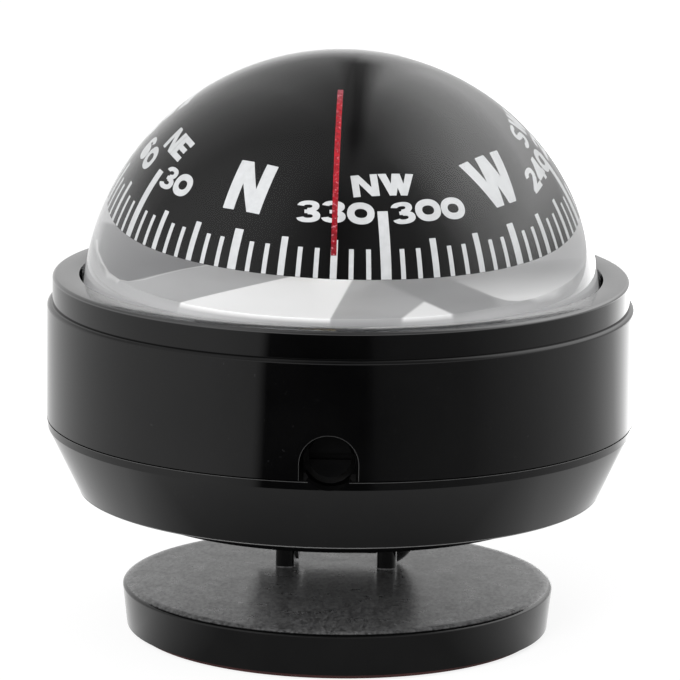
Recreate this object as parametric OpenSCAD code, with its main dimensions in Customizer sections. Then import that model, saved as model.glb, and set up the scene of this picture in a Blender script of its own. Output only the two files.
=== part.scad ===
// Dashboard ball compass: a liquid-filled dome with a floating card, in a round
// housing that tilts on a disc-shaped adhesive foot. Millimetres, +Z up, front
// towards -Y, origin at the centre of the foot's underside.

/* [Foot] */
// Radius of the foot at its widest
base_r = 25.1; // [24:0.1:30]
// How much the foot narrows from its shoulder to its bottom edge
base_draft = 0.5; // [0.2:0.1:2]
// Width of the rounded shoulder around the flat top
base_shoulder = 1.4; // [0.6:0.1:2]
// Height of the foot with its pad
base_h = 5.6; // [4.6:0.1:7]
// Thickness of the adhesive foam pad
pad_h = 0.6; // [0.5:0.1:1.5]
// How far the pad is set in from the foot's edge
pad_inset = 1.0; // [0.3:0.1:2]
// Depth of the cored pockets under the foot
core_depth = 2.4; // [1:0.1:2.6]
// Wall and rib thickness between the cored pockets
core_wall = 1.8; // [1.2:0.1:3]
// Number of ribs between the cored pockets
core_ribs = 8; // [4:1:12]

/* [Tilt hinge] */
// Distance of the hinge axis behind the centre
hinge_y = 8.5; // [4:0.1:10]
// Height of the hinge axis above the foot's top face
hinge_rise = 4.55; // [4.5:0.05:6]
// Thickness of each ear of the foot
ear_t = 2.2; // [1.6:0.1:3]
// Radius of an ear around the hinge axis
ear_r = 3.7; // [3:0.1:4.2]
// Rounding of an ear's upright corners
ear_round = 0.8; // [0.4:0.1:0.8]
// Width of the knuckle between the ears
knuckle_w = 8.6; // [6:0.1:12]
// Radius of the knuckle around the hinge axis
knuckle_r = 3.4; // [2.8:0.1:4]
// Radius of the clamp screw's shank
shank_r = 1.5; // [1:0.1:1.8]
// Radius of the clamp screw's domed head
knob_r = 4.35; // [3:0.05:4.4]
// Thickness of the clamp screw's domed head
knob_t = 2.6; // [2:0.1:4]
// Thickness of the sprung washer inside the left ear
washer_t = 0.7; // [0.4:0.1:1.2]
// Across-flats size of the clamp nut
nut_af = 5.5; // [4.5:0.1:6]
// Thickness of the clamp nut
nut_t = 2.2; // [1.6:0.1:3]
// Gap from the hinge axis up to the underside of the housing
hinge_drop = 4.75; // [4.6:0.05:7]
// Radial clearance of a turning shank or rod
run_play = 0.05; // [0.02:0.01:0.1]
// Sideways clearance of a turning face
face_play = 0.15; // [0.1:0.05:0.3]

/* [Housing] */
// Outer radius of the main ring, the widest part
ring_r = 34.0; // [33.5:0.1:38]
// Wall of the main ring
ring_wall = 1.8; // [1.4:0.1:2.2]
// Height of the main ring above the seam
ring_h = 13.6; // [13:0.1:18]
// Rounding of the main ring's top edge
ring_round = 0.5; // [0.2:0.1:0.8]
// Height of the lower bowl from its underside to the seam
bowl_h = 8.6; // [8:0.1:11]
// How far the lower bowl narrows from the ring to its flat underside
bowl_taper = 4.6; // [3:0.1:6]
// Height of the upright band under the seam
band_h = 1.06; // [0.6:0.02:2]
// How far the band is set in from the ring
band_inset = 0.1; // [0:0.05:0.4]
// Height of the small bevel around the lower bowl's underside
bowl_bevel = 0.2; // [0.1:0.05:0.7]
// Wall of the lower bowl
bowl_wall = 2.0; // [1.6:0.1:2.4]
// Wall of the bowl's spigot inside the ring
spigot_wall = 1.9; // [1.4:0.1:2.2]
// How far the spigot reaches up inside the ring
spigot_h = 5.9; // [5.5:0.1:6.2]
// Gap from the posts' feet in to the opening in the bowl's underside
open_gap = 2.8; // [2.3:0.1:4.3]
// Thickness of the bottom cover
cover_t = 1.8; // [1.4:0.1:2.5]
// Thickness of the deck inside the main ring
deck_t = 1.7; // [1.4:0.1:2.2]
// Height of the bezel rim above the main ring
bezel_h = 3.1; // [2.5:0.1:4.5]
// How far the bezel rim is set in from the ring
bezel_inset = 0.6; // [0.2:0.1:1.2]
// Width of the bezel's flat top
bezel_w = 3.1; // [2.6:0.1:3.4]
// Radial width of the gap between bezel and dome
bezel_gap = 0.3; // [0.2:0.1:1.2]
// Depth of the bezel's spigot inside the ring
bezel_spigot = 0.9; // [0.6:0.1:1.5]
// Clearance of a fixed piece in its seat
fit = 0.1; // [0.05:0.01:0.15]

/* [Screw posts] */
// Gap from each housing post in to the opening in the deck
post_gap = 0.3; // [0:0.1:0.8]
// Radius of a housing post
post_r = 2.6; // [2.2:0.1:2.6]
// How far the bowl's pad under a post is wider than the post
post_pad = 0.6; // [0.3:0.1:0.8]
// Length of the housing screws
post_screw_l = 7.0; // [5:0.1:8]
// Height of a boss for a cover screw
cover_boss_h = 4.2; // [3.5:0.1:5]
// Gap from a cover screw's boss in to the bowl's opening
boss_gap = 0.7; // [0.3:0.1:1.1]
// Radius of a boss for a cover screw
boss_r = 2.4; // [2.1:0.1:2.5]
// Radius of the small screws' thread
screw_r = 1.1; // [0.9:0.05:1.3]
// Radius of the small screws' head
head_r = 2.1; // [1.8:0.1:2.2]
// Thickness of the small screws' head
head_t = 1.1; // [0.8:0.1:1.3]

/* [Dome and chamber] */
// Wall of the clear dome
dome_wall = 1.8; // [1.4:0.1:2]
// Depth of the dome's centre under the bezel's top
dome_sink = 4.0; // [2.8:0.1:4.4]
// Thickness of the dome's flange
dome_flange = 1.8; // [1.4:0.1:2]
// Thickness of the flat gasket on that flange
gasket_t = 0.8; // [0.5:0.1:1.2]
// Thickness of the chamber floor's flange
floor_flange = 1.5; // [1.2:0.1:2]
// Wall of the chamber floor
floor_wall = 1.6; // [1.2:0.1:2]
// Depth of the chamber floor under the bezel's top
floor_drop = 1.0; // [0.8:0.1:1.6]
// Width of the gutter around the floor's flat middle
gutter_w = 6.6; // [4.8:0.1:7.8]
// Width of the slope down into the gutter
gutter_slope = 0.6; // [0.4:0.1:1]
// Depth of the gutter around the floor's flat middle
gutter = 1.0; // [0.5:0.1:1.4]
// How far the collar under the floor is set in from the flat middle
collar_inset = 2.6; // [2.4:0.1:4.6]
// Wall of that collar around the diaphragm
collar_wall = 1.4; // [1:0.1:2]
// Gap from the floor's plate down to the diaphragm
collar_h = 3.4; // [2.5:0.1:3.6]
// Width of the diaphragm's clamped bead
bead_w = 2.6; // [2:0.1:3]
// Thickness of the diaphragm's clamped bead
bead_t = 1.2; // [0.9:0.1:1.5]
// Thickness of the diaphragm's skin
skin_t = 0.5; // [0.3:0.1:0.8]
// Inner radius of the diaphragm's rolled fold
fold_r = 1.1; // [0.8:0.1:1.5]
// Distance of the fold from the bead
fold_inset = 2.4; // [2:0.1:4]
// Radius of the circle that the floor's liquid passages lie on
passage_ring = 10.0; // [6:0.1:12]
// Radius of a liquid passage
passage_r = 1.0; // [0.6:0.1:1.5]
// Thickness of the ring that clamps the diaphragm
clamp_t = 1.5; // [1:0.1:1.8]
// Width of the red line inside the dome
lubber_w = 0.6; // [0.4:0.05:1]
// Height of the red line above the dome's inner face
lubber_t = 0.3; // [0.2:0.05:0.5]
// Angle of the red line's lower end above the dome's centre
lubber_low = 23; // [15:1:30]
// Angle of the red line's upper end above the dome's centre
lubber_high = 69; // [55:1:75]

/* [Compass card] */
// Radius of the card's spherical skin
card_r = 21.6; // [21.3:0.1:22.5]
// How far the card's skin draws in from its full radius to its lower edge
card_tuck = 0.6; // [0.3:0.1:1.6]
// Wall of the card's skin
card_wall = 0.8; // [0.5:0.1:1]
// Height of the card's lower edge above the chamber floor
card_gap = 4.3; // [4.3:0.1:6]
// Height of the pivot point above the card's lower edge
pivot_rise = 1.5; // [1:0.1:2]
// Lean of the resting card, front side down
card_pitch = 0.3; // [0:0.1:3]
// Lean of the resting card, right side down
card_roll = 1.2; // [0:0.1:3]
// Heading that the resting card shows at the front
heading = 331; // [0:1:359]
// Height of the spider above the card's lower edge
spider_lift = 0.6; // [0.4:0.1:1]
// Thickness of the spider that carries the card
spider_t = 1.2; // [0.9:0.1:1.6]
// Width of the spider's rim
spider_rim = 2.0; // [1.5:0.1:3]
// Width of each of the spider's arms
spider_arm = 3.0; // [2:0.1:5]
// Number of the spider's arms
spider_arms = 6; // [4:1:8]
// Radius of the spider's hub
hub_r = 3.4; // [3.2:0.1:4]
// Height of the spider's hub above the pivot point
hub_h = 4.5; // [3.5:0.1:6]
// Length, width and height of a card magnet
magnet = [20, 3, 2]; // [1:0.5:24]
// Distance of each card magnet from the centre
magnet_x = 7.0; // [6:0.1:9]

/* [Pivot] */
// Radius of the steel pivot needle
needle_r = 0.5; // [0.4:0.05:0.6]
// Length of the needle's ground point
needle_point = 2.3; // [2:0.1:3]
// Radius of the pivot post at its top
post_top_r = 1.6; // [1.4:0.1:2]
// Radius of the pivot post at its foot
post_foot_r = 3.2; // [2.8:0.1:4]
// Gap from the top of the post up to the pivot point
post_below = 3.2; // [3:0.1:3.5]
// Radius of the jewel's round back
jewel_r = 1.5; // [1.3:0.05:1.6]
// Half angle of the jewel's cup
jewel_cup = 42; // [38:1:48]
// Outer radius of the jewel holder
holder_r = 2.2; // [2.1:0.05:2.4]
// Thickness of the holder's lip under the hub
holder_lip = 1.0; // [0.6:0.1:1.2]
// Clearance around the jewel in its holder
jewel_gap = 0.1; // [0.05:0.01:0.15]

/* [Compensator] */
// Height of the compensator's axis above the seam
comp_rise = 1.8; // [1.5:0.1:2]
// Radius of the round access hole
access_r = 2.9; // [2.9:0.05:3]
// Half width of the arched notch in the main ring
arch_r = 3.35; // [3.2:0.05:4]
// Radius of the compensator's rod
rod_r = 1.5; // [1.2:0.1:1.8]
// Radius of the rod's slotted head
rod_head_r = 2.4; // [2:0.1:2.6]
// Length of that head
rod_head_l = 3.45; // [2.25:0.05:4]
// Gap from the bowl's spigot back to that head
rod_gap = 0.8; // [0.6:0.1:1.2]
// Radius of the drum that holds the compensator's magnet
drum_r = 4.3; // [3.5:0.1:4.5]
// Length of that drum
drum_l = 5.6; // [4:0.1:5.8]
// Wall of the cradle at each bearing
cradle_wall = 2.0; // [1.4:0.1:2.1]
// Width of the cradle
cradle_w = 9.6; // [9:0.1:11]
// Thickness of the cradle's plate
cradle_plate = 1.6; // [1.2:0.1:2.5]
// Radius of the compensator's magnet
comp_magnet_r = 1.2; // [0.9:0.1:1.5]

/* [Sizes that follow] */
// Inner radius of the main ring
ring_in_r = ring_r - ring_wall;
// Radius of the upright band under the seam
band_r = ring_r - band_inset;
// Radius of the bowl's spigot inside the ring
spigot_r = ring_in_r - fit;
// Radius of the flanges inside the ring
flange_r = ring_in_r - 3 * fit;
// Radius of the lower bowl's flat underside
bowl_floor_r = ring_r - bowl_taper;
// Radius of the bottom cover, flush with the foot
cover_r = base_r;
// Radii of the bezel rim
bezel_r = ring_r - bezel_inset;
bezel_in_r = bezel_r - bezel_w;
// Outer and inner radius of the clear dome
dome_r = bezel_in_r - bezel_gap;
dome_in_r = dome_r - dome_wall;
// Radius of the chamber floor's skirt inside the dome
floor_r = dome_in_r - 4 * fit;
// Radius of the floor's flat middle
floor_flat_r = floor_r - gutter_w - gutter_slope;
// Outer radius of the collar under the floor, and of what sits around and in it
collar_r = floor_flat_r - collar_inset;
deck_in_r = collar_r + 6 * fit;
diaphragm_r = collar_r - collar_wall - fit / 2;
// Distance of the three housing posts from the centre
post_ring = deck_in_r + post_gap + post_r;
// Radius of the opening in the bowl's underside
bowl_open_r = post_ring - post_r - post_pad - open_gap;
// Distance of the four cover screws from the centre
cover_ring = bowl_open_r + boss_gap + boss_r;
// Radius of the card's lower edge
card_edge_r = card_r - card_tuck;
// Distance of the slotted head's face and of the cradle's front face from the centre
rod_front = spigot_r - spigot_wall - rod_gap;
head_back = rod_front - rod_head_l;
cradle_front = head_back - face_play;

/* [Hidden] */
$fn = 96;
eps = 0.01;

// Heights, from the foot upwards
hinge_z = base_h + hinge_rise;
cover_z = hinge_z + hinge_drop;
bowl_z = cover_z + cover_t;
seam_z = bowl_z + bowl_h;
ring_top = seam_z + ring_h;
rim_top = ring_top + bezel_h;
dome_z = rim_top - dome_sink;
dome_foot_z = ring_top - bezel_spigot - gasket_t - dome_flange;
deck_top = dome_foot_z - floor_flange;
deck_z = deck_top - deck_t;
bowl_in_z = bowl_z + bowl_wall;
floor_z = rim_top - floor_drop;
gutter_z = floor_z - gutter;
diaphragm_z = floor_z - floor_wall - collar_h;
card_edge_z = floor_z + card_gap;
spider_z = card_edge_z + spider_lift;
pivot_z = card_edge_z + pivot_rise;
comp_z = seam_z + comp_rise;
card_z = card_edge_z - sqrt(card_r * card_r - card_edge_r * card_edge_r);

// Fill plug, in the gutter behind the card
plug_y = floor_r - 3.6;
plug_r = 1.2;
plug_head_r = 1.8;
plug_boss = 1.5;

// Hinge parts along X
ear_in = knuckle_w / 2 + face_play;
ear_left_in = ear_in + washer_t + face_play;
ear_right_out = ear_in + ear_t;
ear_left_out = ear_left_in + ear_t;
pad_r = base_r - base_draft - pad_inset;

// Screws and posts
post_angles = [90, 210, 330];
cover_angles = [45, 135, 240, 300];
post_foot_z = bowl_in_z + bowl_wall;

// Compensator, as distances in front of the centre
drum_front = cradle_front - cradle_wall - face_play;
drum_back = drum_front - drum_l;
cradle_back = drum_back - face_play - cradle_wall;
cradle_eye_r = cradle_w / 2 - 1.6;
cradle_screw_x = [-3, 3];
cradle_screw_y = (drum_front + drum_back) / 2;

// Turns a child's Z axis to point along +X or along -Y
module along_x() { rotate([0, 90, 0]) children(); }
module along_front() { rotate([90, 0, 0]) children(); }

// A tube or washer between two radii
module tube(outer, inner, height) {
    difference() {
        cylinder(r = outer, h = height);
        translate([0, 0, -eps]) cylinder(r = inner, h = height + 2 * eps);
    }
}

// Leans the card and the parts that carry it about the pivot point
module card_pose() {
    translate([0, 0, pivot_z]) rotate([card_pitch, card_roll, 0]) rotate([0, 0, heading])
        translate([0, 0, -pivot_z]) children();
}

// A pan head screw that points up from its head's underside, with a cross recess
module small_screw(length) {
    difference() {
        union() {
            translate([0, 0, -head_t]) cylinder(r = head_r, h = head_t);
            cylinder(r = screw_r, h = length - screw_r);
            translate([0, 0, length - screw_r]) cylinder(r1 = screw_r, r2 = screw_r / 3, h = screw_r);
        }
        for (turn = [0, 90]) rotate([0, 0, turn])
            translate([-head_r * 0.6, -0.3, -head_t - eps]) cube([head_r * 1.2, 0.6, head_t * 0.6]);
    }
}

// Foot: a disc with a slight draft and a rounded shoulder, cored from below, and two ears
module base_profile() {
    foot_r = base_r - base_draft;
    witness_z = base_h - 0.5;
    difference() {
        union() {
            polygon([[0, pad_h], [foot_r, pad_h], [base_r, witness_z],
                [base_r - base_shoulder, base_h], [0, base_h]]);
            // the shoulder swells into a soft edge just above the witness line
            translate([base_r - base_shoulder, witness_z]) scale([base_shoulder, 0.5])
                circle(r = 1, $fn = 64);
        }
        translate([-1, 0]) square([1, base_h + 1]);
    }
}

module core_pockets() {
    inner_r = 6.5;
    outer_r = base_r - base_draft - core_wall - 0.6;
    translate([0, 0, pad_h - eps]) difference() {
        tube(outer_r, inner_r, core_depth + eps);
        for (n = [0 : core_ribs - 1]) rotate([0, 0, (n + 0.5) * 360 / core_ribs])
            translate([0, -core_wall / 2, -1]) cube([base_r, core_wall, core_depth + 2]);
    }
}

// An ear with a round eye, straight sides and rounded upright corners
module ear_outline() {
    circle(r = ear_r);
    translate([-ear_r, -hinge_rise - eps]) square([2 * ear_r, hinge_rise + eps]);
}

module ear_plan(thick) {
    translate([0, ear_round - ear_r]) square([thick, 2 * (ear_r - ear_round)]);
    translate([ear_round, -ear_r]) square([thick - 2 * ear_round, 2 * ear_r]);
    for (x = [ear_round, thick - ear_round], side = [-1, 1])
        translate([x, side * (ear_r - ear_round)]) circle(r = ear_round);
}

module ear(inner, thick) {
    translate([inner, hinge_y, 0]) intersection() {
        translate([0, 0, hinge_z]) rotate([90, 0, 90]) linear_extrude(thick) ear_outline();
        translate([0, 0, base_h - 2 * eps])
            linear_extrude(hinge_rise + ear_r + 1) ear_plan(thick);
    }
}

module base_plate() {
    color([0.055, 0.055, 0.058]) difference() {
        union() {
            rotate_extrude() base_profile();
            ear(ear_in, ear_t);
            ear(-ear_left_out, ear_t);
        }
        core_pockets();
        translate([-ear_left_out - 1, hinge_y, hinge_z]) along_x()
            cylinder(r = shank_r + run_play, h = ear_left_out + ear_right_out + 2);
    }
}

module adhesive_pad() {
    color([0.35, 0.07, 0.06]) cylinder(r = pad_r, h = pad_h);
}

module hinge_nut() {
    color([0.62, 0.62, 0.64]) translate([-ear_left_out - nut_t, hinge_y, hinge_z]) along_x() difference() {
        cylinder(r = nut_af / sqrt(3), h = nut_t, $fn = 6);
        translate([0, 0, -eps]) cylinder(r = shank_r + run_play, h = nut_t + 2 * eps);
    }
}

// A coned washer that keeps the knuckle tight
module spring_washer() {
    inner = shank_r + 2 * run_play;
    face = ear_left_in - face_play / 2;
    color([0.6, 0.6, 0.62]) translate([-face, hinge_y, hinge_z]) along_x() rotate_extrude()
        polygon([[inner, 0], [knuckle_r + 0.8, 0], [knuckle_r + 0.8, washer_t * 0.55],
            [inner + 0.8, washer_t], [inner, washer_t]]);
}

// Clamp screw with a large domed, slotted head at the right and a plain end at the left
module hinge_screw() {
    head_x = ear_right_out + face_play;
    tip_x = ear_left_out + nut_t + 0.8;
    dome = (knob_r * knob_r + knob_t * knob_t) / (2 * knob_t);
    color([0.1, 0.1, 0.105]) translate([0, hinge_y, hinge_z]) along_x() difference() {
        union() {
            translate([0, 0, -tip_x]) cylinder(r = shank_r, h = head_x + tip_x + eps);
            translate([0, 0, head_x]) intersection() {
                cylinder(r = knob_r, h = knob_t);
                translate([0, 0, knob_t - dome]) sphere(r = dome);
            }
        }
        translate([-knob_r, -0.45, head_x + knob_t - 1.1]) cube([2 * knob_r, 0.9, 2]);
    }
}

// Bottom cover: a disc with the hinge knuckle below and a locating spigot above
module knuckle_outline() {
    circle(r = knuckle_r);
    polygon([[-knuckle_r, 0], [knuckle_r, 0], [knuckle_r + 1.6, hinge_drop + eps],
        [-knuckle_r - 1.6, hinge_drop + eps]]);
}

module bottom_cover() {
    color([0.02, 0.02, 0.022]) difference() {
        union() {
            rotate_extrude() polygon([[0, cover_z], [cover_r - 0.4, cover_z], [cover_r, cover_z + 0.4],
                [cover_r, bowl_z], [bowl_open_r - 2 * fit, bowl_z],
                [bowl_open_r - 2 * fit, bowl_in_z - fit], [bowl_open_r - bowl_wall, bowl_in_z - fit],
                [bowl_open_r - bowl_wall, bowl_z], [0, bowl_z]]);
            translate([-knuckle_w / 2, hinge_y, hinge_z]) rotate([90, 0, 90])
                linear_extrude(knuckle_w) knuckle_outline();
        }
        translate([-knuckle_w, hinge_y, hinge_z]) along_x()
            cylinder(r = shank_r + run_play, h = 2 * knuckle_w);
        for (a = cover_angles) rotate([0, 0, a]) translate([cover_ring, 0, cover_z - eps]) {
            cylinder(r = screw_r + fit, h = cover_t + 1);
            cylinder(r = head_r + 2 * fit, h = head_t + eps);
        }
    }
}

module cover_screws() {
    color([0.3, 0.3, 0.32]) for (a = cover_angles) rotate([0, 0, a])
        translate([cover_ring, 0, cover_z + head_t]) small_screw(cover_boss_h);
}

// Outline of the lower bowl's wall with its spigot, turned about Z
module bowl_profile() {
    slope = [band_r - bowl_floor_r - 0.9, bowl_h - band_h - bowl_bevel];
    skew = bowl_wall * norm(slope) / slope[1];
    polygon([[bowl_open_r, bowl_z], [bowl_floor_r + 0.7, bowl_z],
        [bowl_floor_r + 0.9, bowl_z + bowl_bevel], [band_r, seam_z - band_h], [band_r, seam_z],
        [spigot_r, seam_z], [spigot_r, seam_z + spigot_h], [spigot_r - spigot_wall, seam_z + spigot_h],
        [spigot_r - spigot_wall, seam_z - 1.2],
        [bowl_floor_r + 0.9 - skew + slope[0] * (bowl_wall - bowl_bevel) / slope[1], bowl_in_z],
        [bowl_open_r, bowl_in_z]]);
}

module lower_bowl() {
    color([0.012, 0.012, 0.014]) difference() {
        union() {
            rotate_extrude() bowl_profile();
            for (a = post_angles) rotate([0, 0, a]) translate([post_ring, 0, bowl_z + eps])
                cylinder(r = post_r + post_pad, h = post_foot_z - bowl_z - eps);
            for (a = cover_angles) rotate([0, 0, a]) translate([cover_ring, 0, bowl_z])
                cylinder(r = boss_r, h = cover_boss_h);
        }
        for (a = post_angles) rotate([0, 0, a]) translate([post_ring, 0, bowl_z - eps]) {
            cylinder(r = screw_r + fit, h = bowl_h);
            cylinder(r = head_r + 2 * fit, h = head_t + 0.2);
        }
        for (a = cover_angles) rotate([0, 0, a]) translate([cover_ring, 0, bowl_z - eps])
            cylinder(r = screw_r + fit / 2, h = cover_boss_h - 0.6);
        for (x = cradle_screw_x) translate([x, -cradle_screw_y, bowl_z - eps]) {
            cylinder(r = screw_r + fit, h = bowl_wall + 1);
            cylinder(r = head_r + 2 * fit, h = head_t + eps);
        }
        // round access hole through the spigot and the lip of the seam
        translate([0, -spigot_r + spigot_wall + 1.5, comp_z]) along_front()
            cylinder(r = access_r, h = spigot_wall + 6);
    }
}

module housing_screws() {
    color([0.3, 0.3, 0.32]) for (a = post_angles) rotate([0, 0, a])
        translate([post_ring, 0, bowl_z + head_t + 0.15]) small_screw(post_screw_l);
}

// Main ring: outer wall, inner deck and three hanging posts
module main_ring() {
    color([0.012, 0.012, 0.014]) difference() {
        union() {
            rotate_extrude() difference() {
                union() {
                    translate([ring_in_r, seam_z]) square([ring_wall, ring_h - ring_round]);
                    translate([ring_in_r, ring_top - ring_round - eps])
                        square([ring_wall - ring_round, ring_round + eps]);
                    translate([ring_r - ring_round, ring_top - ring_round]) circle(r = ring_round);
                    translate([deck_in_r, deck_z]) square([ring_in_r - deck_in_r + eps, deck_t]);
                }
                translate([0, seam_z - 1]) square([deck_in_r, ring_h + 2]);
            }
            for (a = post_angles) rotate([0, 0, a]) translate([post_ring, 0, post_foot_z])
                cylinder(r = post_r, h = deck_z - post_foot_z + eps);
        }
        for (a = post_angles) rotate([0, 0, a]) translate([post_ring, 0, post_foot_z - eps])
            cylinder(r = screw_r + fit / 2, h = 5);
        // arched notch that opens on the seam
        translate([0, -ring_in_r + 1, comp_z]) along_front() {
            cylinder(r = arch_r, h = ring_wall + 3);
            translate([-arch_r, -comp_rise - 1, 0]) cube([2 * arch_r, comp_rise + 1, ring_wall + 3]);
        }
    }
}

module bezel_ring() {
    lip = 0.4;
    color([0.03, 0.03, 0.033]) rotate_extrude() union() {
        difference() {
            translate([bezel_in_r, ring_top]) square([bezel_r - bezel_in_r, bezel_h]);
            translate([bezel_r - lip, rim_top - lip]) square([2 * lip, 2 * lip]);
        }
        translate([bezel_r - lip, rim_top - lip]) intersection() {
            circle(r = lip);
            square([lip, lip]);
        }
        translate([bezel_in_r, ring_top - bezel_spigot])
            square([spigot_r - bezel_in_r, bezel_spigot + eps]);
    }
}

module dome_gasket() {
    color([0.03, 0.03, 0.03]) translate([0, 0, ring_top - bezel_spigot - gasket_t])
        tube(flange_r, dome_r + fit, gasket_t);
}

module dome() {
    color([0.85, 0.88, 0.9, 0.35]) rotate_extrude() difference() {
        union() {
            intersection() {
                translate([0, dome_z]) circle(r = dome_r);
                translate([0, dome_z]) square([dome_r + 1, dome_r + 1]);
            }
            translate([0, dome_foot_z]) square([dome_r, dome_z - dome_foot_z]);
            translate([0, dome_foot_z]) square([flange_r, dome_flange]);
        }
        intersection() {
            translate([0, dome_z]) circle(r = dome_in_r);
            translate([0, dome_z]) square([dome_r + 1, dome_r + 1]);
        }
        translate([0, dome_foot_z - 1]) square([dome_in_r, dome_z - dome_foot_z + 1]);
    }
}

// Chamber floor: flange, skirt, gutter and flat middle, with a collar below for the diaphragm
module chamber_floor() {
    collar_foot_z = diaphragm_z - bead_t - clamp_t;
    seat_r = collar_r - collar_wall;
    color([0.78, 0.79, 0.8]) difference() {
        union() {
            rotate_extrude() polygon([[post_top_r + fit / 2, floor_z], [floor_flat_r, floor_z],
                [floor_flat_r + gutter_slope, gutter_z], [floor_r, gutter_z], [floor_r, dome_foot_z],
                [flange_r, dome_foot_z], [flange_r, deck_top], [floor_r - floor_wall, deck_top],
                [floor_r - floor_wall, gutter_z - floor_wall], [collar_r, gutter_z - floor_wall],
                [collar_r, collar_foot_z], [seat_r, collar_foot_z], [seat_r, diaphragm_z],
                [seat_r - bead_w, diaphragm_z], [seat_r - bead_w, floor_z - floor_wall],
                [post_top_r + fit / 2, floor_z - floor_wall]]);
            translate([0, plug_y, gutter_z - floor_wall - plug_boss])
                cylinder(r = 2 * plug_r, h = plug_boss + eps);
        }
        // passages for the liquid, and the filling hole
        for (a = [60, 120]) rotate([0, 0, a]) translate([passage_ring, 0, floor_z - floor_wall - 1])
            cylinder(r = passage_r, h = floor_wall + 2);
        translate([0, plug_y, gutter_z - floor_wall - 2 * plug_boss])
            cylinder(r = plug_r + fit / 2, h = floor_wall + 3 * plug_boss);
    }
}

// Expansion diaphragm: a clamped bead, a thin skin and one rolled fold
module expansion_diaphragm() {
    bead_in_r = diaphragm_r - bead_w;
    fold_at = bead_in_r - fold_inset;
    skin_z = diaphragm_z - bead_t;
    color([0.12, 0.12, 0.12]) rotate_extrude() union() {
        translate([bead_in_r, skin_z]) square([bead_w, bead_t]);
        translate([fold_at + fold_r, skin_z]) square([bead_in_r - fold_at - fold_r + eps, skin_t]);
        translate([fold_at, skin_z]) intersection() {
            difference() {
                circle(r = fold_r + skin_t);
                circle(r = fold_r);
            }
            translate([-2 * fold_r, 0]) square([4 * fold_r, 2 * fold_r]);
        }
        translate([0, skin_z]) square([fold_at - fold_r, skin_t]);
    }
}

// Ring pressed into the collar to clamp the diaphragm
module diaphragm_retainer() {
    color([0.5, 0.5, 0.5]) translate([0, 0, diaphragm_z - bead_t - clamp_t])
        tube(diaphragm_r, diaphragm_r - bead_w - 0.8, clamp_t);
}

module fill_plug() {
    seat = gutter_z - floor_wall - plug_boss;
    color([0.7, 0.7, 0.68]) translate([0, plug_y, 0]) union() {
        translate([0, 0, seat - 1]) cylinder(r = plug_head_r, h = 1);
        translate([0, 0, seat - eps]) cylinder(r = plug_r, h = plug_boss + floor_wall);
    }
}

// Clear post that carries the needle
module pivot_post() {
    top = pivot_z - post_below;
    color([0.85, 0.88, 0.9, 0.5]) difference() {
        union() {
            translate([0, 0, floor_z]) cylinder(r1 = post_foot_r, r2 = post_top_r, h = top - floor_z);
            translate([0, 0, floor_z - floor_wall]) cylinder(r = post_top_r, h = floor_wall + eps);
        }
        translate([0, 0, floor_z]) cylinder(r = needle_r + 0.02, h = top - floor_z + 1);
    }
}

module pivot_needle() {
    color([0.8, 0.8, 0.82]) {
        translate([0, 0, floor_z]) cylinder(r = needle_r, h = pivot_z - needle_point - floor_z);
        translate([0, 0, pivot_z - needle_point]) cylinder(r1 = needle_r, r2 = 0.04, h = needle_point);
    }
}

// Jewel: a round-backed cup that sits on the needle's point
module pivot_jewel() {
    skirt = 0.8;
    apex = 0.12;
    mouth = (skirt + apex) * tan(jewel_cup);
    color([0.75, 0.1, 0.2]) card_pose() translate([0, 0, pivot_z]) difference() {
        sphere(r = jewel_r);
        translate([0, 0, -skirt - jewel_r]) cylinder(r = 2 * jewel_r, h = jewel_r);
        translate([0, 0, -skirt]) cylinder(r1 = mouth, r2 = 0, h = skirt + apex);
    }
}

// Bush that seats the jewel and turns in the card's hub
module jewel_holder() {
    bore = jewel_r + jewel_gap;
    color([0.72, 0.55, 0.25]) card_pose() translate([0, 0, pivot_z]) difference() {
        union() {
            translate([0, 0, -holder_lip - eps]) cylinder(r = holder_r, h = hub_h + holder_lip + eps);
            translate([0, 0, -2 * holder_lip]) cylinder(r = hub_r - 2 * fit, h = holder_lip);
        }
        sphere(r = bore);
        translate([0, 0, -2 * holder_lip - eps]) cylinder(r = bore, h = 2 * holder_lip + eps);
    }
}

// Card skin: a black spherical cap, nearly a hemisphere
module card_dial() {
    color([0.03, 0.03, 0.032]) card_pose() translate([0, 0, card_z]) rotate_extrude() difference() {
        circle(r = card_r);
        circle(r = card_r - card_wall);
        translate([-2 * card_r, -2 * card_r]) square([2 * card_r, 4 * card_r]);
        translate([-1, -2 * card_r]) square([2 * card_r, 2 * card_r + card_edge_z - card_z]);
    }
}

// Spider: rim, arms and hub inside the card skin
module card_spider() {
    skin_in = card_r - card_wall - fit / 2;
    low_r = sqrt(skin_in * skin_in - pow(spider_z - card_z, 2));
    high_r = sqrt(skin_in * skin_in - pow(spider_z + spider_t - card_z, 2));
    hub_top = pivot_z + hub_h - 4 * fit;
    color([0.85, 0.85, 0.86]) card_pose() difference() {
        union() {
            translate([0, 0, spider_z]) difference() {
                cylinder(r1 = low_r, r2 = high_r, h = spider_t);
                translate([0, 0, -1]) cylinder(r = high_r - spider_rim, h = spider_t + 2);
            }
            for (n = [0 : spider_arms - 1]) rotate([0, 0, n * 360 / spider_arms])
                translate([0, -spider_arm / 2, spider_z])
                    cube([high_r - spider_rim / 2, spider_arm, spider_t]);
            translate([0, 0, spider_z]) cylinder(r = hub_r, h = hub_top - spider_z);
        }
        translate([0, 0, spider_z - 1]) cylinder(r = holder_r + run_play, h = hub_top - spider_z + 2);
    }
}

// Two bar magnets under the spider, along the card's north-south line
module card_magnets() {
    color([0.45, 0.45, 0.47]) card_pose() for (side = [-1, 1])
        translate([side * magnet_x - magnet[1] / 2, -magnet[0] / 2, spider_z - magnet[2]])
            cube([magnet[1], magnet[0], magnet[2]]);
}

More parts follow.
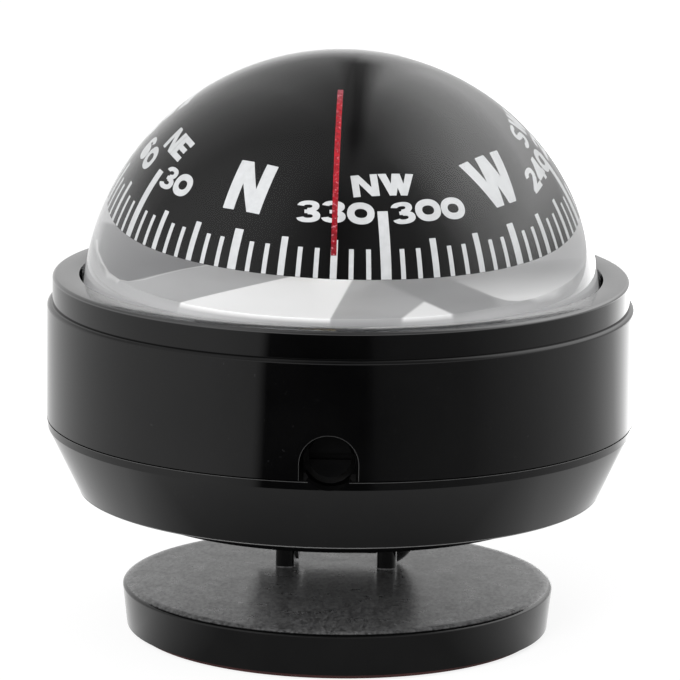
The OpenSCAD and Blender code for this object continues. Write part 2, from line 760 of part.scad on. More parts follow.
// Raised red line on the inside of the dome, at the front
module lubber_line() {
    color([0.75, 0.03, 0.08]) translate([0, 0, dome_z]) rotate([90, 0, -90])
        rotate([0, 0, lubber_low]) rotate_extrude(angle = lubber_high - lubber_low)
            translate([dome_in_r - 0.02 - lubber_t, -lubber_w / 2]) square([lubber_t, lubber_w]);
}

// Cradle: two bearing walls on a plate that stands on the bowl's floor
module compensator_cradle() {
    color([0.1, 0.1, 0.1]) difference() {
        union() {
            translate([-cradle_w / 2, -cradle_front, bowl_in_z])
                cube([cradle_w, cradle_front - cradle_back, cradle_plate]);
            for (y = [cradle_front, cradle_back + cradle_wall]) translate([0, -y, 0]) {
                translate([-cradle_eye_r, 0, bowl_in_z])
                    cube([2 * cradle_eye_r, cradle_wall, comp_z - bowl_in_z]);
                translate([0, cradle_wall, comp_z]) along_front() cylinder(r = cradle_eye_r, h = cradle_wall);
            }
        }
        translate([0, 0, comp_z]) along_front() cylinder(r = rod_r + run_play, h = 2 * ring_r);
        for (x = cradle_screw_x) translate([x, -cradle_screw_y, bowl_in_z - eps])
            cylinder(r = screw_r + fit / 2, h = cradle_plate + 2 * eps);
    }
}

module cradle_screws() {
    color([0.3, 0.3, 0.32]) for (x = cradle_screw_x)
        translate([x, -cradle_screw_y, bowl_z + head_t]) small_screw(bowl_wall - head_t + cradle_plate);
}

// Rotor: slotted head behind the access hole, rod, and the drum for the magnet
module compensator_rotor() {
    color([0.08, 0.08, 0.085]) translate([0, 0, comp_z]) along_front() difference() {
        union() {
            translate([0, 0, cradle_back - 0.4]) cylinder(r = rod_r, h = rod_front - cradle_back);
            translate([0, 0, head_back]) cylinder(r = rod_head_r, h = rod_front - head_back);
            translate([0, 0, drum_back]) cylinder(r = drum_r, h = drum_l);
        }
        translate([-rod_head_r, -0.4, rod_front - 1]) cube([2 * rod_head_r, 0.8, 2]);
        translate([-drum_r, 0, cradle_screw_y]) rotate([0, 90, 0])
            cylinder(r = comp_magnet_r + 0.02, h = 2 * drum_r);
    }
}

module compensator_magnet() {
    inset = 0.6;
    color([0.5, 0.5, 0.52]) translate([-drum_r + inset, -cradle_screw_y, comp_z]) along_x()
        cylinder(r = comp_magnet_r, h = 2 * (drum_r - inset));
}

base_plate();
adhesive_pad();
hinge_nut();
spring_washer();
hinge_screw();
bottom_cover();
cover_screws();
lower_bowl();
housing_screws();
main_ring();
bezel_ring();
dome_gasket();
dome();
chamber_floor();
expansion_diaphragm();
diaphragm_retainer();
fill_plug();
pivot_post();
pivot_needle();
lubber_line();
compensator_cradle();
cradle_screws();
compensator_rotor();
compensator_magnet();
pivot_jewel();
jewel_holder();
card_dial();
card_spider();
card_magnets();
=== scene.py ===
"""Dashboard ball compass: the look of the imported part, its floor, lights and camera.

Lengths are in millimetres where a comment says so, where a name ends in _mm and where a
value is multiplied by MM. The scene itself is in metres. +Z is up and the front faces -Y.
"""

import math
from collections import namedtuple

import bpy
import bmesh
from mathutils import Euler, Matrix, Vector
from mathutils.geometry import delaunay_2d_cdt


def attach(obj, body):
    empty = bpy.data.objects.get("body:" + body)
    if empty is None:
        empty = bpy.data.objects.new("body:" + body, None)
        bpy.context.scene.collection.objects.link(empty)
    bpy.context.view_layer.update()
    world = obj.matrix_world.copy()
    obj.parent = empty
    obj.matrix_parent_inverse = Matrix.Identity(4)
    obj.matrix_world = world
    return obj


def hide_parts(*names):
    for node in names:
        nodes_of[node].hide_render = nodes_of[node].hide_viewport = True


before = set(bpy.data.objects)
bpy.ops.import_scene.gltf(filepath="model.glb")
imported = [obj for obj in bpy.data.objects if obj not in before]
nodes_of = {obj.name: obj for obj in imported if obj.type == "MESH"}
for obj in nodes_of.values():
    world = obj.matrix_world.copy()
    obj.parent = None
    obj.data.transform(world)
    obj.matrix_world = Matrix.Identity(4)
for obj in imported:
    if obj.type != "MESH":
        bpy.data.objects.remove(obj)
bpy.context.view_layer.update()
MM = 0.001


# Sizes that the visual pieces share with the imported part, in millimetres

RING_R = 34.0
RING_TOP_Z = 38.9
RING_ROUND = 0.5
SEAM_Z = 25.3
ARCH_R = 3.35
ARCH_Z = 27.1
BOWL_Z = 16.7
BOWL_FOOT_R = 30.22
BEZEL_R = 33.4
BEZEL_IN_R = 30.3
BEZEL_SEAT_R = 32.1
BEZEL_FOOT_Z = 38.0
BEZEL_TOP_Z = 42.0
BEZEL_ROUND = 0.4
BEZEL_IN_ROUND = 0.12
DOME_R = 30.0
DOME_Z = 38.0
DOME_FOOT_Z = 35.4
FLOOR_FLAT_R = 20.6
CARD_R = 21.6
CARD_EDGE_R = 21.0
CARD_EDGE_Z = 45.3
CARD_Z = CARD_EDGE_Z - math.sqrt(CARD_R**2 - CARD_EDGE_R**2)
PIVOT_Z = 46.8

# How the card stands, in degrees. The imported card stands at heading 331, and its printing
# is laid at a slightly smaller one, to stand where the photo shows it.
CARD_PITCH = 0.3
CARD_ROLL = 1.2
PRINT_HEADING = 329.7

# Angle round the axis at which the front lies, in degrees
AXIS_FRONT = -90.0


# Node helpers


def new_material(name):
    """An empty node material, its tree and its output node."""
    mat = bpy.data.materials.new(name)
    mat.use_nodes = True
    mat.node_tree.nodes.clear()
    out = mat.node_tree.nodes.new("ShaderNodeOutputMaterial")
    return mat, mat.node_tree, out


def add(tree, kind, **props):
    node = tree.nodes.new(kind)
    for key, value in props.items():
        setattr(node, key, value)
    return node


def plug(tree, value, socket):
    """Sets a socket to a number or an (r, g, b) colour, or links an output to it."""
    if isinstance(value, (int, float)):
        socket.default_value = value
    elif isinstance(value, tuple):
        socket.default_value = (*value, 1.0)
    else:
        tree.links.new(value, socket)


def math_node(tree, op, a, b=None, clamp=False):
    node = add(tree, "ShaderNodeMath", operation=op, use_clamp=clamp)
    plug(tree, a, node.inputs[0])
    if b is not None:
        plug(tree, b, node.inputs[1])
    return node.outputs[0]


def plus(tree, a, b):
    return math_node(tree, "ADD", a, b)


def minus(tree, a, b):
    return math_node(tree, "SUBTRACT", a, b)


def times(tree, a, b):
    return math_node(tree, "MULTIPLY", a, b)


def split_xyz(tree, vector):
    node = add(tree, "ShaderNodeSeparateXYZ")
    tree.links.new(vector, node.inputs[0])
    return tuple(node.outputs)


def object_mm(tree):
    """Object coordinates in millimetres."""
    coord = add(tree, "ShaderNodeTexCoord")
    scale = add(tree, "ShaderNodeVectorMath", operation="SCALE")
    tree.links.new(coord.outputs["Object"], scale.inputs[0])
    scale.inputs["Scale"].default_value = 1 / MM
    return scale.outputs[0]


def noise(tree, vector, per_mm, detail=3.0, rough=0.5, stretch=None):
    """Noise with about per_mm features to a millimetre."""
    if stretch:
        mapping = add(tree, "ShaderNodeMapping")
        mapping.inputs["Scale"].default_value = stretch
        tree.links.new(vector, mapping.inputs["Vector"])
        vector = mapping.outputs[0]
    node = add(tree, "ShaderNodeTexNoise")
    node.inputs["Scale"].default_value = per_mm
    node.inputs["Detail"].default_value = detail
    node.inputs["Roughness"].default_value = rough
    tree.links.new(vector, node.inputs["Vector"])
    return node.outputs[0]


def ramp(tree, value, span, to=(0.0, 1.0)):
    """Maps value from a span of numbers to another, clamped."""
    node = add(tree, "ShaderNodeMapRange")
    for i, v in enumerate((*span, *to)):
        node.inputs[i + 1].default_value = v
    tree.links.new(value, node.inputs[0])
    return node.outputs[0]


def mix_colour(tree, factor, a, b):
    """Between two colours, or outputs, a and b."""
    node = add(tree, "ShaderNodeMix", data_type="RGBA")
    for i, v in ((0, factor), (6, a), (7, b)):
        plug(tree, v, node.inputs[i])
    return node.outputs[2]


def mix_value(tree, factor, a, b):
    """Between two numbers, or outputs, a and b."""
    node = add(tree, "ShaderNodeMix", data_type="FLOAT")
    for i, v in ((0, factor), (2, a), (3, b)):
        plug(tree, v, node.inputs[i])
    return node.outputs[0]


def mix_shaders(tree, factor, first, second, out):
    """Sends a mix of two shader nodes to the output node."""
    mix = add(tree, "ShaderNodeMixShader")
    plug(tree, factor, mix.inputs[0])
    tree.links.new(first.outputs[0], mix.inputs[1])
    tree.links.new(second.outputs[0], mix.inputs[2])
    tree.links.new(mix.outputs[0], out.inputs[0])


def add_bump(tree, shader, height, distance_mm):
    node = add(tree, "ShaderNodeBump")
    node.inputs["Strength"].default_value = 1.0
    node.inputs["Distance"].default_value = distance_mm * MM
    tree.links.new(height, node.inputs["Height"])
    tree.links.new(node.outputs[0], shader.inputs["Normal"])


def principled(tree, out, **values):
    shader = add(tree, "ShaderNodeBsdfPrincipled")
    for key, value in values.items():
        shader.inputs[key.replace("_", " ")].default_value = value
    tree.links.new(shader.outputs[0], out.inputs[0])
    return shader


def tone_curve(tree, value, stops):
    """Straight steps between (value, tone) stops, for a value from 0 to 1."""
    node = add(tree, "ShaderNodeFloatCurve")
    curve = node.mapping.curves[0]
    curve.points[0].location = stops[0]
    curve.points[-1].location = stops[-1]
    for stop in stops[1:-1]:
        curve.points.new(*stop)
    for point in curve.points:
        point.handle_type = "VECTOR"
    node.mapping.update()
    tree.links.new(value, node.inputs["Value"])
    return node.outputs[0]


def angle_from_front(tree, x, y):
    """Angle round the vertical from the front, right positive, in radians."""
    return math_node(tree, "ARCTAN2", x, times(tree, y, -1.0))


# A curve node holds tones up to 1, so brighter ones are divided by this and multiplied again
TONE_TOP = 4.0


def tones_around(tree, angle, stops):
    """Brightness by the angle from the front, along (degrees, tone) stops."""
    turn = ramp(tree, angle, (-math.pi, math.pi))
    curve = tone_curve(tree, turn, [(a / 360 + 0.5, t / TONE_TOP) for a, t in stops])
    return times(tree, curve, TONE_TOP)


# Materials

DUST_GREY = (0.32, 0.32, 0.33)
ZONE_SOFT_MM = 0.04

Finish = namedtuple("Finish", "dark light ior rough rough_spread")


def soft_patches(tree, where):
    """0 to 1 in soft patches several millimetres wide."""
    return ramp(tree, noise(tree, where, 0.12, detail=4.0, rough=0.6), (0.35, 0.65))


def fine_grain(tree, where, grain_mm, stretch=None):
    return noise(tree, where, 1.0 / grain_mm, detail=3.0, rough=0.6, stretch=stretch)


def uneven_gloss(tree, where, to, stretch=None):
    """A value over the range to, in patches a few millimetres wide."""
    return ramp(tree, noise(tree, where, 0.35, detail=5.0, rough=0.65, stretch=stretch), (0.3, 0.7), to)


def plastic(name, finish, grain_mm, bump_mm=0.0, dust=0.0, metal=0.0, stretch=None):
    """Moulded or plated stuff: two tones in soft patches, uneven gloss, fine grain and some dust."""
    mat, tree, out = new_material(name)
    where = object_mm(tree)
    shader = principled(tree, out, IOR=finish.ior, Metallic=metal)
    colour = mix_colour(tree, soft_patches(tree, where), finish.dark, finish.light)
    if dust:
        specks = noise(tree, where, 2.6, detail=2.0, rough=0.55)
        colour = mix_colour(tree, ramp(tree, specks, (0.70, 0.78), (0.0, dust)), colour, DUST_GREY)
    tree.links.new(colour, shader.inputs["Base Color"])
    gloss = (finish.rough - finish.rough_spread, finish.rough + finish.rough_spread)
    tree.links.new(uneven_gloss(tree, where, gloss, stretch), shader.inputs["Roughness"])
    if bump_mm:
        add_bump(tree, shader, fine_grain(tree, where, grain_mm, stretch), bump_mm)
    return mat


def two_zone(name, zone_mm, low, high, grain_mm, bump_mm, top_mm=None, stretch=None, speckled=False):
    """Black plastic with one finish below a height and another above it, up to top_mm.

    Only the upper zone has grain, and a speckled one shows it as tones too.
    """
    mat, tree, out = new_material(name)
    where = object_mm(tree)
    shader = principled(tree, out)
    height = split_xyz(tree, where)[2]
    zone = ramp(tree, height, (zone_mm - ZONE_SOFT_MM, zone_mm + ZONE_SOFT_MM))
    if top_mm:
        below_top = ramp(tree, height, (top_mm - ZONE_SOFT_MM, top_mm + ZONE_SOFT_MM), (1.0, 0.0))
        zone = times(tree, zone, below_top)
    patches = soft_patches(tree, where)
    grain = fine_grain(tree, where, grain_mm, stretch)
    tones = ramp(tree, grain, (0.35, 0.65)) if speckled else patches
    colour = mix_colour(
        tree,
        zone,
        mix_colour(tree, patches, low.dark, low.light),
        mix_colour(tree, tones, high.dark, high.light),
    )
    tree.links.new(colour, shader.inputs["Base Color"])
    tree.links.new(ramp(tree, zone, (0.0, 1.0), (low.ior, high.ior)), shader.inputs["IOR"])
    level = ramp(tree, zone, (0.0, 1.0), (low.rough, high.rough))
    spread = ramp(tree, zone, (0.0, 1.0), (low.rough_spread, high.rough_spread))
    wear = uneven_gloss(tree, where, (-1.0, 1.0))
    tree.links.new(plus(tree, level, times(tree, wear, spread)), shader.inputs["Roughness"])
    add_bump(tree, shader, times(tree, grain, zone), bump_mm)
    return mat


def clear_dome_material():
    """Acrylic and the liquid behind it as one clear body. Light for the pieces inside goes straight in."""
    mat, tree, out = new_material("clear_dome_and_liquid")
    where = object_mm(tree)
    glass = add(tree, "ShaderNodeBsdfPrincipled")
    glass.inputs["Transmission Weight"].default_value = 1.0
    glass.inputs["IOR"].default_value = 1.453
    glass.inputs["Roughness"].default_value = 0.0
    faint = ramp(tree, noise(tree, where, 0.05, detail=2.0), (0.3, 0.7))
    tint = mix_colour(tree, faint, (0.985, 0.99, 0.99), (1.0, 1.0, 1.0))
    tree.links.new(tint, glass.inputs["Base Color"])
    through = add(tree, "ShaderNodeBsdfTransparent")
    path = add(tree, "ShaderNodeLightPath")
    inside = math_node(tree, "MAXIMUM", path.outputs["Is Shadow Ray"], path.outputs["Is Diffuse Ray"])
    mix_shaders(tree, inside, glass, through, out)
    return mat


# Heights between which the red line brightens, and those between which its tip pales
LINE_MM = (48.0, 60.0)
LINE_TIP_MM = (63.2, 64.3)


def red_line_material():
    """Raised red paint: darker towards its lower end, pale at its tip, with dark grains and light specks."""
    mat, tree, out = new_material("red_paint_line")
    where = object_mm(tree)
    shader = principled(tree, out, IOR=1.3)
    height = split_xyz(tree, where)[2]
    body = mix_colour(tree, ramp(tree, height, LINE_MM), (0.20, 0.003, 0.010), (0.50, 0.005, 0.018))
    tip = mix_colour(tree, ramp(tree, height, LINE_TIP_MM, (0.0, 0.6)), body, (0.40, 0.16, 0.20))
    grains = ramp(tree, noise(tree, where, 2.4, rough=0.7), (0.40, 0.60), (0.65, 0.0))
    grainy = mix_colour(tree, grains, tip, (0.12, 0.002, 0.006))
    specks = ramp(tree, noise(tree, where, 3.0, rough=0.7), (0.57, 0.66), (0.0, 0.6))
    tree.links.new(mix_colour(tree, specks, grainy, (0.85, 0.30, 0.36)), shader.inputs["Base Color"])
    gloss = ramp(tree, noise(tree, where, 1.5), (0.3, 0.7), (0.2, 0.45))
    tree.links.new(gloss, shader.inputs["Roughness"])
    add_bump(tree, shader, noise(tree, where, 2.6, detail=4.0, rough=0.6), 0.10)
    return mat


# Outlines of painted light, shade and reflections on the chamber floor, counter-clockwise from above, and a
# painted highlight line, in its own millimetres

PAINTED_SHADE_LEFT = [
    (-19.3, -4.9), (-10.8, 1.2), (-8.0, 6.0), (-16.0, 12.0),
    (-19.5, 6.0), (-20.8, 0.0), (-20.5, -3.6),
]
PAINTED_SHADE_RIGHT = [(3.3, -2.9), (8.1, -11.4), (12.3, -17.8), (16.0, -12.5), (14.4, -8.4), (8.0, 0.0)]
PAINTED_LIGHT_QUAD = [(-2.9, -1.0), (-17.5, -16.0), (-0.6, -24.0), (0.3, -13.0), (1.2, -1.0)]
PAINTED_LIGHT_TRIANGLE = [(8.1, -11.2), (6.7, -20.6), (12.2, -17.8)]
PAINTED_REFLECTION_BAY = [
    (9.8, -2.6), (14.4, -8.4), (16.2, -9.9), (17.6, -9.9), (19.0, -8.4),
    (20.4, -4.9), (20.8, 0.0), (18.9, 7.2), (12.0, 3.0),
]
PAINTED_HIGHLIGHT_LINE = [
    (-18.3, 8.6), (-19.4, 6.0), (-20.2, 2.7), (-20.7, -1.0), (-20.3, -3.8),
    (-19.3, -4.7), (-17.4, -3.9), (-15.4, -2.2), (-12.9, -0.2), (-8.0, 3.0),
]
RIM_W = 0.3


class FloorPlan:
    """Fields and lines drawn over a floor's x and y, in millimetres, as outputs from 0 to 1."""

    def __init__(self, tree, x, y):
        self.tree, self.x, self.y = tree, x, y

    def side(self, p, q, soft):
        """0 to 1 across the line p-q, 1 on its left, over soft millimetres each way."""
        dx, dy = q[0] - p[0], q[1] - p[1]
        length = math.hypot(dx, dy)
        nx, ny = -dy / length, dx / length
        across = plus(self.tree, times(self.tree, self.x, nx), times(self.tree, self.y, ny))
        offset = p[0] * nx + p[1] * ny
        return ramp(self.tree, across, (offset - soft, offset + soft))

    def field(self, corners, soft):
        """Inside of a convex outline."""
        value = None
        for p, q in zip(corners, corners[1:] + corners[:1]):
            edge = self.side(p, q, soft)
            value = edge if value is None else times(self.tree, value, edge)
        return value

    def length(self, x, y):
        squares = plus(self.tree, times(self.tree, x, x), times(self.tree, y, y))
        return math_node(self.tree, "SQRT", squares)

    def stroke(self, points, width):
        """A thin line through the points, brightest along its middle."""
        tree = self.tree
        value = None
        for p, q in zip(points, points[1:]):
            dx, dy = q[0] - p[0], q[1] - p[1]
            length = math.hypot(dx, dy)
            ux, uy = dx / length, dy / length
            off_x = minus(tree, self.x, p[0])
            off_y = minus(tree, self.y, p[1])
            along = plus(tree, times(tree, off_x, ux), times(tree, off_y, uy))
            along = math_node(tree, "MINIMUM", math_node(tree, "MAXIMUM", along, 0.0), length)
            rest_x = minus(tree, off_x, times(tree, along, ux))
            rest_y = minus(tree, off_y, times(tree, along, uy))
            near = ramp(tree, self.length(rest_x, rest_y), (0.2 * width, width), (1.0, 0.0))
            value = near if value is None else math_node(tree, "MAXIMUM", value, near)
        return value


def floor_tone_material():
    """Pale glossy floor painted with light, shade and reflections: its bright and grey fields stand for
    light that the liquid bends and mirrors onto it.
    """
    mat, tree, out = new_material("chamber_floor_painted_light")
    where = object_mm(tree)
    shader = principled(tree, out, IOR=1.2)
    x, y, _ = split_xyz(tree, where)
    plan = FloorPlan(tree, x, y)

    clouds = ramp(tree, noise(tree, where, 0.08), (0.35, 0.65))
    colour = mix_colour(tree, clouds, (0.37, 0.37, 0.375), (0.44, 0.44, 0.445))
    # painted shade: a dull field at the left and a darker one at the right
    painted_shade_left_mask = times(tree, plan.field(PAINTED_SHADE_LEFT, soft=0.3), 0.85)
    colour = mix_colour(tree, painted_shade_left_mask, colour, (0.14, 0.14, 0.145))
    darker = times(tree, plan.field(PAINTED_SHADE_RIGHT, soft=0.5), 0.6)
    colour = mix_colour(tree, darker, colour, (0.24, 0.24, 0.245))
    # painted light: a bright quad and a bright triangle
    colour = mix_colour(tree, plan.field(PAINTED_LIGHT_QUAD, soft=0.14), colour, (0.97, 0.97, 0.97))
    colour = mix_colour(tree, plan.field(PAINTED_LIGHT_TRIANGLE, soft=0.2), colour, (0.92, 0.92, 0.92))

    # painted shade and reflection on the slope round the flat floor, darker in front and behind than at the
    # sides
    rim = ramp(tree, plan.length(x, y), (FLOOR_FLAT_R, FLOOR_FLAT_R + RIM_W), (0.0, 0.9))
    to_side = ramp(tree, math_node(tree, "ABSOLUTE", x), (4.0, 15.0))
    rim_painted_tone = mix_colour(tree, to_side, (0.29, 0.29, 0.295), (0.46, 0.46, 0.465))
    colour = mix_colour(tree, rim, colour, rim_painted_tone)

    # a painted reflection in the bay at the right, which grows paler and shows more towards its front right
    slope = minus(tree, times(tree, x, 0.4), times(tree, y, 0.9))
    bay_painted_reflection_tone = mix_colour(tree, ramp(tree, slope, (3.0, 14.0)), (0.26, 0.26, 0.265), (0.82, 0.82, 0.82))
    bay = times(tree, plan.field(PAINTED_REFLECTION_BAY, soft=0.2), ramp(tree, slope, (0.0, 6.0), (0.0, 0.85)))
    colour = mix_colour(tree, bay, colour, bay_painted_reflection_tone)

    # a painted highlight: a thin bright line at the left
    line = times(tree, plan.stroke(PAINTED_HIGHLIGHT_LINE, width=0.22), 0.5)
    colour = mix_colour(tree, line, colour, (0.80, 0.80, 0.80))
    tree.links.new(colour, shader.inputs["Base Color"])
    gloss = ramp(tree, noise(tree, where, 0.15, detail=1.0, rough=0.4), (0.3, 0.7), (0.30, 0.36))
    tree.links.new(gloss, shader.inputs["Roughness"])
    return mat


def ink_material():
    """White printing on the card, a little uneven."""
    mat, tree, out = new_material("card_white_ink")
    where = object_mm(tree)
    shader = principled(tree, out, IOR=1.2)
    uneven = ramp(tree, noise(tree, where, 1.1, detail=4.0, rough=0.6), (0.3, 0.7))
    colour = mix_colour(tree, uneven, (0.56, 0.57, 0.58), (0.64, 0.65, 0.66))
    tree.links.new(colour, shader.inputs["Base Color"])
    gloss = ramp(tree, noise(tree, where, 0.8), (0.3, 0.7), (0.45, 0.6))
    tree.links.new(gloss, shader.inputs["Roughness"])
    return mat


POLISHED = Finish(
    dark=(0.0014, 0.0014, 0.0015),
    light=(0.0022, 0.0022, 0.0023),
    ior=1.37,
    rough=0.05,
    rough_spread=0.02,
)

gloss_black = plastic("polished_black", POLISHED, grain_mm=0.35, bump_mm=0.0008, dust=0.03)
bezel_black = two_zone(
    "bezel_black",
    zone_mm=41.62,
    low=POLISHED,
    high=Finish((0.010, 0.010, 0.0105), (0.016, 0.016, 0.0165), ior=1.80, rough=0.11, rough_spread=0.03),
    grain_mm=0.22,
    bump_mm=0.002,
)
# The upper zone, the foot's top, is partly real grain on a matt face and partly painted sheen: its grey
# tones are lighter than black plastic, for light falling on the top
foot_black_painted_sheen = two_zone(
    "foot_black_painted_sheen",
    zone_mm=5.44,
    low=Finish((0.0016, 0.0016, 0.0017), (0.0030, 0.0030, 0.0031), ior=1.38, rough=0.12, rough_spread=0.03),
    high=Finish((0.055, 0.055, 0.056), (0.200, 0.200, 0.202), ior=1.66, rough=0.30, rough_spread=0.05),
    grain_mm=0.34,
    bump_mm=0.020,
    top_mm=5.72,
    stretch=(0.9, 0.4, 1.0),
    speckled=True,
)
card_black = plastic(
    "card_black",
    Finish((0.0018, 0.0018, 0.0019), (0.0030, 0.0030, 0.0031), ior=1.06, rough=0.5, rough_spread=0.08),
    grain_mm=0.6,
)
foam = plastic(
    "foam_with_red_film",
    Finish((0.035, 0.012, 0.012), (0.06, 0.020, 0.019), ior=1.4, rough=0.8, rough_spread=0.1),
    grain_mm=0.3,
    bump_mm=0.05,
)
plated = plastic(
    "zinc_plate",
    Finish((0.42, 0.42, 0.43), (0.55, 0.55, 0.56), ior=1.5, rough=0.3, rough_spread=0.08),
    grain_mm=0.25,
    bump_mm=0.008,
    metal=1.0,
)
black_steel = plastic(
    "blackened_steel",
    Finish((0.03, 0.03, 0.032), (0.06, 0.06, 0.062), ior=1.6, rough=0.3, rough_spread=0.07),
    grain_mm=0.22,
    bump_mm=0.01,
    metal=0.6,
)
dark_steel = plastic(
    "dark_steel",
    Finish((0.0015, 0.0015, 0.0016), (0.0045, 0.0045, 0.0047), ior=1.16, rough=0.35, rough_spread=0.07),
    grain_mm=0.22,
    bump_mm=0.01,
)
# painted highlight: a lighter tone for the light that thin edges and bevels catch
painted_edge_highlight = plastic(
    "painted_edge_highlight",
    Finish((0.030, 0.030, 0.030), (0.055, 0.055, 0.055), ior=1.5, rough=0.35, rough_spread=0.07),
    grain_mm=0.22,
)
# painted highlight: a brighter one, for the bowl's lower edge
painted_bright_highlight = plastic(
    "painted_bright_highlight",
    Finish((0.10, 0.10, 0.10), (0.14, 0.14, 0.14), ior=1.5, rough=0.35, rough_spread=0.07),
    grain_mm=0.22,
)
cover_black = plastic(
    "cover_black",
    Finish((0.0008, 0.0008, 0.0009), (0.0014, 0.0014, 0.0015), ior=1.12, rough=0.15, rough_spread=0.05),
    grain_mm=0.35,
)
gap_shadow = plastic(
    "gap_shadow",
    Finish((0.0, 0.0, 0.0), (0.001, 0.001, 0.001), ior=1.01, rough=0.8, rough_spread=0.05),
    grain_mm=0.4,
)
rubber = plastic(
    "black_rubber",
    Finish((0.015, 0.015, 0.015), (0.024, 0.024, 0.024), ior=1.5, rough=0.7, rough_spread=0.1),
    grain_mm=0.4,
    bump_mm=0.02,
)
pale = plastic(
    "pale_plastic",
    Finish((0.58, 0.59, 0.60), (0.66, 0.67, 0.68), ior=1.45, rough=0.3, rough_spread=0.06),
    grain_mm=0.3,
    bump_mm=0.006,
)
inner = plastic(
    "inner_plastic",
    Finish((0.03, 0.03, 0.03), (0.05, 0.05, 0.05), ior=1.45, rough=0.4, rough_spread=0.08),
    grain_mm=0.25,
    bump_mm=0.01,
)
brass = plastic(
    "turned_brass",
    Finish((0.50, 0.36, 0.15), (0.62, 0.47, 0.22), ior=1.5, rough=0.25, rough_spread=0.06),
    grain_mm=0.2,
    bump_mm=0.008,
    metal=1.0,
    stretch=(1, 1, 6),
)
alloy = plastic(
    "magnet_alloy",
    Finish((0.22, 0.22, 0.23), (0.34, 0.34, 0.35), ior=1.5, rough=0.42, rough_spread=0.08),
    grain_mm=0.2,
    bump_mm=0.01,
    metal=1.0,
    stretch=(1, 5, 1),
)
ruby = plastic(
    "jewel_red",
    Finish((0.40, 0.02, 0.08), (0.55, 0.03, 0.12), ior=1.7, rough=0.12, rough_spread=0.04),
    grain_mm=0.4,
    bump_mm=0.002,
)
clear_post = plastic(
    "clear_post",
    Finish((0.75, 0.77, 0.78), (0.85, 0.87, 0.88), ior=1.45, rough=0.15, rough_spread=0.05),
    grain_mm=0.4,
    bump_mm=0.004,
)
dome_clear = clear_dome_material()
red_paint = red_line_material()
floor_painted_light = floor_tone_material()
white_ink = ink_material()

LOOK = {
    "base_plate": foot_black_painted_sheen,
    "adhesive_pad": foam,
    "hinge_nut": plated,
    "spring_washer": plated,
    "hinge_screw": black_steel,
    "bottom_cover": cover_black,
    "cover_screws": plated,
    "lower_bowl": gloss_black,
    "housing_screws": plated,
    "main_ring": gloss_black,
    "bezel_ring": bezel_black,
    "dome_gasket": rubber,
    "dome": dome_clear,
    "chamber_floor": floor_painted_light,
    "expansion_diaphragm": rubber,
    "diaphragm_retainer": pale,
    "fill_plug": pale,
    "pivot_post": clear_post,
    "pivot_needle": plated,
    "lubber_line": red_paint,
    "compensator_cradle": inner,
    "cradle_screws": plated,
    "compensator_rotor": dark_steel,
    "compensator_magnet": alloy,
    "pivot_jewel": ruby,
    "jewel_holder": brass,
    "card_dial": card_black,
    "card_spider": pale,
    "card_magnets": alloy,
}
for name, obj in nodes_of.items():
    obj.data.materials.clear()
    obj.data.materials.append(LOOK[name])


# The real dome bends light in under the card. Here light goes straight in, so the
# card lets it pass to the floor of the chamber.
for name in ("card_dial", "card_spider", "card_magnets"):
    nodes_of[name].visible_shadow = False
    nodes_of[name].visible_diffuse = False


# Mesh helpers

ON_AXIS_MM = 1e-6


def mesh_object(name, mesh, material):
    obj = bpy.data.objects.new(name, mesh)
    bpy.context.scene.collection.objects.link(obj)
    mesh.materials.append(material)
    return obj


def mesh_from(name, bm, smooth_deg=None):
    """A mesh from bm, which is freed: smooth where its edges bend less than smooth_deg."""
    bmesh.ops.recalc_face_normals(bm, faces=bm.faces)
    mesh = bpy.data.meshes.new(name)
    bm.to_mesh(mesh)
    bm.free()
    if smooth_deg:
        mesh.polygons.foreach_set("use_smooth", [True] * len(mesh.polygons))
        mesh.set_sharp_from_angle(angle=math.radians(smooth_deg))
    return mesh


def on_circle(r, turn, z):
    """The point at radius r and height z, turned round the axis by turn radians."""
    return (r * math.cos(turn), r * math.sin(turn), z)


def lathe(name, profile_mm, material, steps=256):
    """A turned body from (radius, height) points: they start and end on the axis, or close into a ring."""
    turns = [2 * math.pi * k / steps for k in range(steps)]
    bm = bmesh.new()
    rings = []
    for r, z in profile_mm:
        if r < ON_AXIS_MM:
            rings.append([bm.verts.new((0.0, 0.0, z * MM))])
        else:
            rings.append([bm.verts.new(on_circle(r * MM, turn, z * MM)) for turn in turns])
    pairs = list(zip(rings, rings[1:]))
    if len(rings[0]) > 1:
        pairs.append((rings[-1], rings[0]))
    for low, high in pairs:
        for k in range(steps):
            m = (k + 1) % steps
            corners = [low[k % len(low)], low[m % len(low)], high[m % len(high)], high[k % len(high)]]
            unique = list(dict.fromkeys(corners))
            if len(unique) > 2:
                bm.faces.new(unique)
    return mesh_object(name, mesh_from(name, bm, smooth_deg=40), material)


def arc_mm(r, z, radius, start, end, steps=10):
    """Points of an arc in a profile, about (r, z), from start to end degrees."""
    turns = [math.radians(start + (end - start) * k / steps) for k in range(steps + 1)]
    return [(r + radius * math.cos(t), z + radius * math.sin(t)) for t in turns]


# The dome and the liquid behind it: one clear body, which stands just clear of the dome's seat

dome_foot = DOME_FOOT_Z + 0.05
dome_profile = [(0.0, dome_foot), (DOME_R, dome_foot)] + arc_mm(0.0, DOME_Z, DOME_R, 0, 90, steps=96)
dome_body = lathe("dome_and_liquid", dome_profile, dome_clear)
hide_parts("dome")
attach(dome_body, "housing")


# The bezel and the ring's rounded top edge, turned again with fine steps for clean highlights

